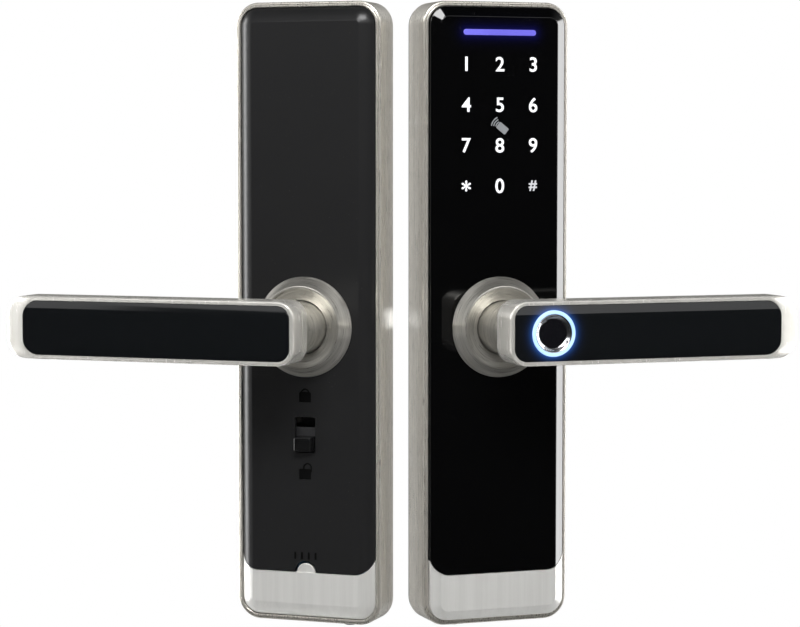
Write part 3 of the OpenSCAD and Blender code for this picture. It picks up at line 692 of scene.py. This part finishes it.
def crownRings(side, shrink):
    # skirt, rounded shoulder, bevel and a crisp edge to the flat front
    depth = depths[side]
    edge = lock["rimW"] + lock["gap"] + shrink
    top = edge + bevels[side] - shrink / 2
    foot = depth - 0.5 - shrink / 2 - lock["skirt"]
    low, high = depth - 0.5 - shrink / 2 + rises[side], depth + lock["crown"] - shrink
    rise, run = high - 0.2 - low, top - edge
    if shrink:
        rings = [(edge, foot), (edge, low), (top, high)]
    elif side == "in":
        # halfway between a flat bevel and a full roll-off
        roll = [(t / 8, 1 - cos(pi / 2 * t / 8), sin(pi / 2 * t / 8)) for t in range(9)]
        rings = [(edge, foot)] + [(edge + run * (t + a) / 2, low + rise * (t + b) / 2) for t, a, b in roll]
        rings += [(top + 0.6, high)]
    else:
        r = front["round"]
        rings = [(edge, foot), (edge, low - r), (edge + r * 0.25, low + rise / run * r * 0.1),
                 (edge + r, low + rise / run * r), (top - r, high - 0.2 - rise / run * r * 0.9),
                 (top, high - 0.06), (top + r, high)]
    return [plateRing(inset, out) for inset, out in rings]


def crownShell(name, side):
    return loft(name, crownRings(side, lock["skin"])[::-1] + crownRings(side, 0.0))


def aboveSeam(grow, low, high):
    top = lock["plateH"] + 20
    w = lock["plateW"] - 2 * lock["rimW"] - 2 * lock["gap"] + 2 * grow
    return prism("seam", ring2d(w, top - lock["capH"] + 2 * grow, lock["seamR"] + grow, 0,
                                (lock["capH"] + top) / 2, 16), low, high)


def padlock(z, opened, low, high):
    # body, and a shackle that stands open to one side on the open one
    cuts = [prism("body", ring2d(6.0, 5.0, 0.7, 0, z - 0.9), low, high)]
    lift = 1.6 if opened else 0.4
    bow = arc(1.2 if opened else 0, z + lift + 0.6, 2.3, 0, 180, 14)
    inner = arc(1.2 if opened else 0, z + lift + 0.6, 1.45, 180, 0, 14)
    left = [(bow[-1][0], z + (1.2 if opened else 0)), (inner[0][0], z + (1.2 if opened else 0))]
    right = [(inner[-1][0], z), (bow[0][0], z)]
    cuts.append(prism("shackle", bow + left + inner + right, low, high))
    return cuts


def buildRowTree():
    # sets copies of one shape in a row
    tree = bpy.data.node_groups.new("strokeRow", "GeometryNodeTree")
    for label, kind in (("Shape", "NodeSocketGeometry"), ("Count", "NodeSocketInt"),
                        ("Pitch", "NodeSocketFloat"), ("Finish", "NodeSocketMaterial")):
        tree.interface.new_socket(name=label, in_out="INPUT", socket_type=kind)
    tree.interface.new_socket(name="Row", in_out="OUTPUT", socket_type="NodeSocketGeometry")
    inp, out = tree.nodes.new("NodeGroupInput"), tree.nodes.new("NodeGroupOutput")
    row = tree.nodes.new("GeometryNodeMeshLine")
    step = tree.nodes.new("ShaderNodeCombineXYZ")
    copies = tree.nodes.new("GeometryNodeInstanceOnPoints")
    real = tree.nodes.new("GeometryNodeRealizeInstances")
    finish = tree.nodes.new("GeometryNodeSetMaterial")
    link = tree.links.new
    link(inp.outputs["Count"], row.inputs["Count"])
    link(inp.outputs["Pitch"], step.inputs[0])
    link(step.outputs[0], row.inputs["Offset"])
    link(row.outputs[0], copies.inputs["Points"])
    link(inp.outputs["Shape"], copies.inputs["Instance"])
    link(copies.outputs[0], real.inputs[0])
    link(real.outputs[0], finish.inputs["Geometry"])
    link(inp.outputs["Finish"], finish.inputs["Material"])
    link(finish.outputs[0], out.inputs[0])
    return tree


rowTree = buildRowTree()


def strokes(low, high):
    # a row of short upright strokes above the finger notch
    one = prism("stroke", ring2d(front["strokeW"], front["strokeH"], 0.5, front["strokeX"],
                                 front["strokeZ"], 4), low, high)
    obj = standIn(one)
    mod = obj.modifiers.new("strokeRow", "NODES")
    mod.node_group = rowTree
    for label, value in (("Count", front["strokes"]), ("Pitch", front["strokePitch"] * mm),
                         ("Finish", markSatin)):
        mod[socketNamed(rowTree, label)] = value
    mesh = shapeOf(obj)
    bpy.data.objects.remove(obj)
    return mesh


def coverMarks(low, high):
    return (padlock(front["closedZ"], False, low, high) + padlock(front["openZ"], True, low, high)
            + [strokes(low, high)])


def buildPanel():
    depth, face = depths["out"], faces["out"]
    mesh = carve(crownShell("touch_panel", "out"), [aboveSeam(0, depth - 10, face + 2)], "INTERSECT")
    mesh = carve(mesh, [disc(0, lock["axisZ"], front["neckHole"] / 2, depth, face + 1),
                        prism("light", ring2d(front["lightW"], front["lightH"], 1.3, 0, front["lightZ"]),
                              depth, face + 1)])
    mesh = soften(mesh, 0.22)
    return addPiece("touch_panel_glass", mesh, "out", panelGloss, "housings", "panel_black", "touch_panel")


def buildCover():
    depth, face = depths["in"], faces["in"]
    slotRing = ring2d(front["slotW"], front["slotH"], 1.0, 0, front["slotZ"])
    mesh = carve(crownShell("inside_cover", "in"), [aboveSeam(0, depth - 10, face + 2)], "INTERSECT")
    marks = coverMarks(face - front["markDeep"], face + 1)
    mesh = carve(mesh, [disc(0, lock["axisZ"], front["neckHole"] / 2, depth, face + 1),
                        prism("slot", slotRing, depth, face + 1),
                        disc(0, lock["capH"], front["notchR"], depth - 10, face + 1)] + marks)
    mesh = soften(mesh, 0.3)
    return addPiece("inside_cover_shell", mesh, "in", coverSatin, "housings", "cover_black", "inside_cover")


def buildCap(side, node, body):
    depth, face = depths[side], faces[side]
    mesh = carve(crownShell(node, side), [aboveSeam(lock["gap"], depth - 12, face + 2)])
    mesh = soften(mesh, 0.45, 4)
    if side == "in":
        r = front["notchR"] - 0.6
        half = [(r * cos(radians(a)), lock["capH"] - 0.6 + r * sin(radians(a))) for a in range(0, 181, 12)]
        tongue = prism("tongue", [(r, lock["capH"] - 1.5)] + half + [(-r, lock["capH"] - 1.5)],
                       face - lock["skin"], face - lock["skin"] + 1.4)
        mesh = joined(node, [mesh, soften(tongue, 0.35)])
    return addPiece(node + "_cap", mesh, side, capMetal, body, "brushed_cap", node)


buildPanel()
buildCover()
buildCap("out", "key_cover", "key_cover")
buildCap("in", "battery_cover", "battery_cover")
print("covers made")


# the levers with their sleeves, rosettes and sensor

def barRing(inset, reach, out, rootR=None, tipR=None, steps=10, rim=None):
    # outline of the lever from its root end to reach, at one depth
    left, right = -lever["root"] + inset, reach - inset
    half = lever["h"] / 2 - inset
    rootR = max((rootR or lever["r"]) - inset, 0.4)
    tipR = max((tipR or lever["tipR"]) - inset, 0.4)
    points = []
    for sx, sz, start, r in ((1, 1, 0, tipR), (-1, 1, 90, rootR), (-1, -1, 180, rootR), (1, -1, 270, tipR)):
        cx = (right if sx > 0 else left) - sx * r
        for i in range(steps + 1):
            a = radians(start + 90 * i / steps)
            points.append((cx + r * cos(a), out, lock["axisZ"] + sz * (half - r) + r * sin(a)))
    return points


def buildBar(side, node, hole):
    face = faces[side]
    back, high = face + lever["out"] - lever["t"], face + lever["out"]
    reach, mouth = lever["reach"], lever["reach"] - lever["slope"] - 0.2

    def slopeAt(out):
        return reach - max(out - high + lever["drop"], 0.0) / lever["drop"] * lever["slope"]

    low = high - lever["drop"]
    rings = [barRing(4.0, reach, back), barRing(0.9, reach, back), barRing(0.3, reach, back + 0.25),
             barRing(0.0, reach, back + 0.9), barRing(0.0, reach, low - 0.5),
             barRing(0.0, slopeAt(low) - 0.15, low), barRing(0.0, slopeAt(low + 0.4), low + 0.4),
             barRing(0.0, slopeAt(high - 1.0), high - 1.0), barRing(0.12, slopeAt(high - 0.5), high - 0.45),
             barRing(0.5, slopeAt(high - 0.2), high - 0.08), barRing(0.8, slopeAt(high - 0.1) + 0.3, high)]
    mesh = loft(node, rings)
    pocket = loft("pocket", [barRing(lever["rim"], mouth + lever["rim"], high - lever["floor"]),
                             barRing(lever["rim"], mouth + lever["rim"], high + 1)])
    shaft = disc(0, lock["axisZ"], lever["shaft"] / 2, back - 1, back + 6)
    cutters = [pocket, shaft]
    if hole:
        cutters.append(disc(lever["sensorX"], lock["axisZ"], lever["sensorD"] / 2 - 0.5, high - 11, high))
    mesh = soften(carve(mesh, cutters), 0.12, 2)
    if side == "in":
        mesh = mirrored(mesh)
    addPiece(node + "_cast", mesh, side, leverMetal, leverOf[side], "brushed_lever", node)


def buildInlay(side, node, hole):
    high = faces[side] + lever["out"]
    inset = lever["rim"] + 0.15
    half = lever["h"] / 2 - inset
    mouth = lever["reach"] - lever["slope"] - 0.2 + lever["rim"]
    block = loft(node, [barRing(inset, mouth, high - lever["floor"] + 0.05),
                        barRing(inset, mouth, high + 2)])
    x0, x1 = -lever["root"] - 1, lever["reach"] + 1
    section = [(high - lever["floor"], -half), (high - lever["edge"], -half),
               (high + lever["lift"], lever["facet"] - half), (high + lever["lift"], half - lever["facet"]),
               (high - lever["edge"], half), (high - lever["floor"], half)]
    facet = loft("facet", [[(x, out, lock["axisZ"] + z) for out, z in section] for x in (x0, x1)])
    mesh = carve(block, [facet], "INTERSECT")
    if hole:
        mesh = carve(mesh, [disc(lever["sensorX"], lock["axisZ"], lever["sensorD"] / 2,
                                 high - 5, high + 3)])
    mesh = soften(mesh, 0.15, 3, 12, 9)
    if side == "in":
        mesh = mirrored(mesh)
    addPiece(node + "_gloss", mesh, side, inlayGloss, leverOf[side], "inlay_black", node)


def buildNeck(side, node):
    face = faces[side]
    back = face + lever["out"] - lever["t"]
    r, low = lever["neckD"] / 2, face + lever["shoulder"]
    hole, stub = lever["shaft"] / 2, lever["stub"] / 2
    profile = [(hole, 11.05), (stub, 11.05), (stub, 11.6), (7.2, 11.6), (7.2, 12.7), (stub, 12.7),
               (stub, low), (r - 0.4, low), (r, low + 0.4), (r, back - 0.5), (r - 0.5, back), (hole, back)]
    mesh = soften(lathe(node, profile, lock["axisZ"]), 0.0)
    addPiece(node + "_sleeve", mesh, side, turnedMetal, leverOf[side], "brushed_rosette", node)


def buildRosette(side, node):
    face = faces[side]
    r, bore = 23.4, lever["neckD"] / 2 + 0.45
    profile = ([(bore, face), (r - 0.2, face), (r, face + 0.2), (r, face + 0.6), (r - 0.25, face + 0.95)]
               + [(r - 3.2, face + 5.4), (r - 3.65, face + 6.2), (r - 4.05, face + 6.72),
                  (r - 4.6, face + 6.9), (r - 5.1, face + 6.8), (r - 5.7, face + 6.5),
                  (bore + 0.3, face + 4.7), (bore, face + 4.4)])
    mesh = soften(lathe(node, profile, lock["axisZ"], steps=128), 0.0)
    addPiece(node + "_turned", mesh, side, turnedMetal, "housings", "brushed_rosette", node)


def buildSensor():
    high = faces["out"] + lever["out"]
    r, x, z = lever["sensorD"] / 2, lever["sensorX"], lock["axisZ"]
    ring = lathe("ring", [(r - 1.6, high - 3), (r - 0.05, high - 3), (r - 0.05, high + 0.6),
                          (r - 0.2, high + 0.9), (r - 0.5, high + 1.05), (r - 1.15, high + 1.05),
                          (r - 1.45, high + 0.9), (r - 1.6, high + 0.7)], z, x)
    addPiece("sensor_glow_ring", soften(ring, 0.0), "out", ringLight, "outside_lever", "sensor_light",
             "sensor_light_ring")
    b = r - 1.65
    bezel = lathe("bezel", [(b - 2.7, high - 4), (b, high - 4), (b, high + 0.6), (b - 0.15, high + 0.8),
                            (b - 0.4, high + 0.75), (b - 0.9, high + 0.3), (b - 1.4, high - 0.3),
                            (b - 2.05, high - 0.75), (b - 2.05, high - 2.9), (b - 2.7, high - 2.9)], z, x)
    addPiece("sensor_chrome_ring", soften(bezel, 0.0), "out", chromeFinish, "outside_lever",
             "sensor_chrome", "sensor_bezel")
    p = (lever["sensorD"] - 7.6) / 2
    pad = lathe("pad", [(0, high - 2.9), (p, high - 2.9), (p, high - 1.1), (p - 0.3, high - 0.85),
                        (p - 1.2, high - 0.8), (0, high - 0.95)], z, x, closed=False)
    addPiece("sensor_touch_pad", soften(pad, 0.0), "out", glassDark, "outside_lever", "sensor_glass",
             "sensor_pad")


leverOf = {"out": "outside_lever", "in": "inside_lever"}
for side, label in (("out", "outside"), ("in", "inside")):
    buildBar(side, label + "_lever_bar", side == "out")
    buildInlay(side, label + "_lever_inlay", side == "out")
    buildNeck(side, label + "_lever_neck")
    buildRosette(side, label + "_rosette")
buildSensor()
print("levers made")


# small things on the fronts

keys = {"top": 261.0, "pitchX": 16.6, "pitchZ": 18.7, "digit": 9.3, "bold": 0.13, "proud": 0.09,
        "cardZ": 232.4}


def letter(text, x, z, size, face, bold=None):
    # one character as a thin solid on the front face
    curve = bpy.data.curves.new("key_" + text, "FONT")
    curve.body = text
    curve.align_x = "CENTER"
    curve.align_y = "CENTER"
    curve.size = size * mm
    curve.offset = (keys["bold"] if bold is None else bold) * mm
    curve.extrude = keys["proud"] / 2 * mm
    obj = bpy.data.objects.new(curve.name, curve)
    bpy.context.scene.collection.objects.link(obj)
    mesh = shapeOf(obj)
    bpy.data.objects.remove(obj)
    box = [[v.co[i] for v in mesh.vertices] for i in range(2)]
    centre = [(min(c) + max(c)) / 2 for c in box]
    mesh.transform(Matrix.Translation((x * mm, -(face + keys["proud"] / 2) * mm, z * mm))
                   @ Matrix.Rotation(radians(90), 4, "X") @ Matrix.Translation((-centre[0], -centre[1], 0)))
    return mesh


def buildLegends():
    face = faces["out"]
    rows = (("1", "2", "3"), ("4", "5", "6"), ("7", "8", "9"), ("*", "0"))
    meshes = []
    for row, line in enumerate(rows):
        for col, text in enumerate(line):
            meshes.append(letter(text, (col - 1) * keys["pitchX"], keys["top"] - row * keys["pitchZ"],
                                 10.8 if text == "*" else keys["digit"], face))
    mesh = joined("keypad_legends", meshes)
    addPiece("keypad_digits", mesh, "out", legendWhite, "housings", "legend_white", "keypad_legends")
    hashMark = letter("#", keys["pitchX"], keys["top"] - 3 * keys["pitchZ"], 6.6, face, 0.16)
    addPiece("keypad_hash", hashMark, "out", legendSoft, "housings", "legend_white")


def band(cx, cz, r, w, start, end, low, high):
    # a piece of a ring, as an arc with width
    return prism("band", arc(cx, cz, r + w / 2, start, end, 12) + arc(cx, cz, r - w / 2, end, start, 12),
                 low, high)


def buildCardMark():
    # tilted card with a fan of waves over its corner
    face, z = faces["out"], keys["cardZ"]
    low, high = face, face + keys["proud"]
    turn = radians(-38)
    card = [(1.3 + x * cos(turn) - y * sin(turn), z - 0.9 + x * sin(turn) + y * cos(turn))
            for x, y in ring2d(5.6, 3.4, 0.6, steps=4)]
    meshes = [prism("card", card, low, high)]
    meshes += [band(0.6, z - 0.4, r, 0.55, 112, 172, low, high) for r in (2.6, 3.7, 4.8)]
    addPiece("keypad_card_mark", joined("card", meshes), "out", legendGrey, "housings", "legend_white")


def buildLight():
    face = faces["out"]
    points = ring2d(front["lightW"] - 0.1, front["lightH"] - 0.1, 1.2, 0, front["lightZ"])
    mesh = soften(prism("light_bar", points, face - lock["skin"] - 0.4, face - 0.02), 0.15)
    addPiece("light_bar_lens", mesh, "out", barLight, "housings", "status_light", "light_bar")


def buildSlider():
    face = faces["in"]
    w, h, lift, z = slider["w"], slider["h"], slider["lift"], slider["z"]
    low = face - lock["skin"] - 0.4
    rings = [level(ring2d(w, h, 0.8, 0, z), low), level(ring2d(w, h, 0.8, 0, z), face + 0.6),
             level(ring2d(w - 1.2, h - 0.6, 0.6, 0, z), face + lift - 0.4),
             level(ring2d(w - 1.9, h - 1.2, 0.5, 0, z), face + lift)]
    parts = [soften(loft("knob", rings), 0.25)]
    for dz in (-2, 0, 2):
        parts.append(soften(prism("ridge", ring2d(w - 2.4, 0.7, 0.3, 0, z + dz), face + lift - 0.2,
                                  face + lift + 0.4), 0.12))
    floor = face - front["markDeep"]
    marks = joined("marks", coverMarks(floor, floor + 0.08))
    addPiece("padlock_marks", marks, "in", markSatin, "housings", "cover_black")
    addPiece("privacy_slider_knob", joined("knob", parts), "in", sliderSatin, "privacy_slider",
             "slider_black", "privacy_slider")


buildLegends()
buildCardMark()
buildLight()
buildSlider()
print("fronts made")


# finishes for the parts that keep their own shape

finishes = {
    boardGreen: ["keypad_board", "sensor_board", "control_board"],
    copperTrace: ["card_antenna"],
    brassFinish: ["key_cylinder", "key_plug", "clutch_screw", "lever_bushings"],
    platedFinish: ["key_cam", "power_socket", "outside_hub", "inside_hub", "clutch_motor", "clutch_pin",
                   "clutch_disc", "outside_spindle", "inside_spindle", "outside_back_plate",
                   "mounting_posts", "battery_contacts", "inside_mounting_plate", "mounting_bolts",
                   "plate_screws"],
    darkSteel: ["outside_set_screw", "inside_set_screw", "outside_circlip", "inside_circlip",
                "bottom_screws"],
    springWire: ["battery_springs", "detent_spring", "return_springs"],
    blackPlastic: ["buzzer", "clutch_housing", "battery_tray", "privacy_link"],
    whitePlastic: ["clutch_slider", "program_button", "cable_sockets"],
    rubberFinish: ["outside_gasket"],
    cellSleeve: ["battery_cells"],
}
for material, names in finishes.items():
    for name in names:
        slots = frame["nodes"][name].material_slots
        for one in slots:
            one.material = material


# stage, light and camera: each light's place, what it faces, its size and its power
lights = {
    "rightBox": ((1.30, 0.12, 0.20), (0, 0, 0.15), (0.13, 1.4), 9),
    "leftBox": ((-1.28, 0.33, 0.20), (0, 0, 0.15), (0.30, 1.4), 22),
    "topBox": ((0, -1.05, 1.1), (0, 0, 0.12), (0.8, 0.5), 30),
    "leftEdgeBox": ((-1.19, -0.53, 0.15), (0, 0, 0.15), (0.18, 0.9), 0.5),
    "leftFacetBox": ((-0.83, -1.03, 0.73), (0, 0, 0.14), (1.0, 0.28), 1.9),
    "rightEdgeBox": ((1.19, -0.53, 0.15), (0, 0, 0.15), (0.18, 0.9), 0.5),
    "rightFacetBox": ((0.83, -1.03, 0.73), (0, 0, 0.14), (1.0, 0.28), 1.9),
}


def buildFloor():
    low = cadBox[0][2]
    mesh = bpy.data.meshes.new("floor")
    r = 6.0
    corners = [(-r, -r), (r, -r), (r, r), (-r, r)]
    mesh.from_pydata([(x, y, low - 0.0002) for x, y in corners], [], [(0, 1, 2, 3)])
    material, tree, shader = newMaterial("paleFloor")
    coords = tree.nodes.new("ShaderNodeTexCoord")
    noise = tree.nodes.new("ShaderNodeTexNoise")
    noise.inputs["Scale"].default_value = 3.0
    tree.links.new(coords.outputs["Object"], noise.inputs["Vector"])
    tree.links.new(mixColours(tree, noise.outputs["Fac"], (0.9, 0.9, 0.9), (0.94, 0.94, 0.94)),
                   shader.inputs["Base Color"])
    shader.inputs["Roughness"].default_value = 0.9
    path = tree.nodes.new("ShaderNodeLightPath")
    white = tree.nodes.new("ShaderNodeEmission")
    white.inputs[0].default_value = (1, 1, 1, 1)
    mix = tree.nodes.new("ShaderNodeMixShader")
    tree.links.new(path.outputs["Is Camera Ray"], mix.inputs[0])
    tree.links.new(shader.outputs[0], mix.inputs[1])
    tree.links.new(white.outputs[0], mix.inputs[2])
    tree.links.new(mix.outputs[0], tree.nodes["Material Output"].inputs["Surface"])
    mesh.materials.append(material)
    floor = standIn(mesh)
    floor.name = "floor"
    floor.visible_glossy = False


def softBox(name, spot, target, size, power):
    light = bpy.data.lights.new(name, "AREA")
    light.shape = "RECTANGLE"
    light.size, light.size_y = size
    light.energy = power
    obj = bpy.data.objects.new(name, light)
    obj.location = spot
    obj.rotation_euler = (Vector(target) - Vector(spot)).to_track_quat("-Z", "Y").to_euler()
    obj.visible_camera = False
    bpy.context.scene.collection.objects.link(obj)
    return obj


def fadeBetween(tree, value, start, end, low, high):
    node = tree.nodes.new("ShaderNodeMapRange")
    node.interpolation_type = "SMOOTHSTEP"
    for label, number in (("From Min", start), ("From Max", end), ("To Min", low), ("To Max", high)):
        node.inputs[label].default_value = number
    tree.links.new(value, node.inputs["Value"])
    return node.outputs[0]


def buildWorld():
    # white to the eye; dim in front, overhead and straight behind, so that glossy fronts stay
    # black and round edges end in a dark line
    world = bpy.data.worlds.new("studio")
    bpy.context.scene.world = world
    world.use_nodes = True
    tree = world.node_tree
    tree.nodes.clear()
    out = tree.nodes.new("ShaderNodeOutputWorld")
    mix = tree.nodes.new("ShaderNodeMixShader")
    path = tree.nodes.new("ShaderNodeLightPath")
    seen = tree.nodes.new("ShaderNodeBackground")
    seen.inputs[0].default_value = (1, 1, 1, 1)
    room = tree.nodes.new("ShaderNodeBackground")
    coords = tree.nodes.new("ShaderNodeTexCoord")
    split = tree.nodes.new("ShaderNodeSeparateXYZ")
    tree.links.new(coords.outputs["Generated"], split.inputs[0])
    facing = fadeBetween(tree, split.outputs["Y"], -0.45, 0.25, 0.02, 0.52)
    above = fadeBetween(tree, split.outputs["Z"], 0.45, 0.85, 1.0, 0.12)
    behind = fadeBetween(tree, split.outputs["Y"], 0.84, 0.95, 1.0, 0.06)
    shade = mathNode(tree, "MULTIPLY", above, behind)
    tree.links.new(mathNode(tree, "MULTIPLY", facing, shade), room.inputs["Color"])
    tree.links.new(path.outputs["Is Camera Ray"], mix.inputs[0])
    tree.links.new(room.outputs[0], mix.inputs[1])
    tree.links.new(seen.outputs[0], mix.inputs[2])
    tree.links.new(mix.outputs[0], out.inputs[0])


def buildCamera():
    view = {"place": (-0.00093, -1.1561, 0.225), "down": 3.88, "lens": 111.56}
    data = bpy.data.cameras.new("camera")
    data.lens = view["lens"]
    data.sensor_width = 36.0
    data.clip_start = 0.01
    camera = bpy.data.objects.new("camera", data)
    camera.location = view["place"]
    camera.rotation_euler = (radians(90 - view["down"]), 0, 0)
    bpy.context.scene.collection.objects.link(camera)
    bpy.context.scene.camera = camera


buildFloor()
buildWorld()
for name, (spot, target, size, power) in lights.items():
    softBox(name, spot, target, size, power)
buildCamera()
bpy.context.scene.view_settings.view_transform = "Standard"
print("stage made")
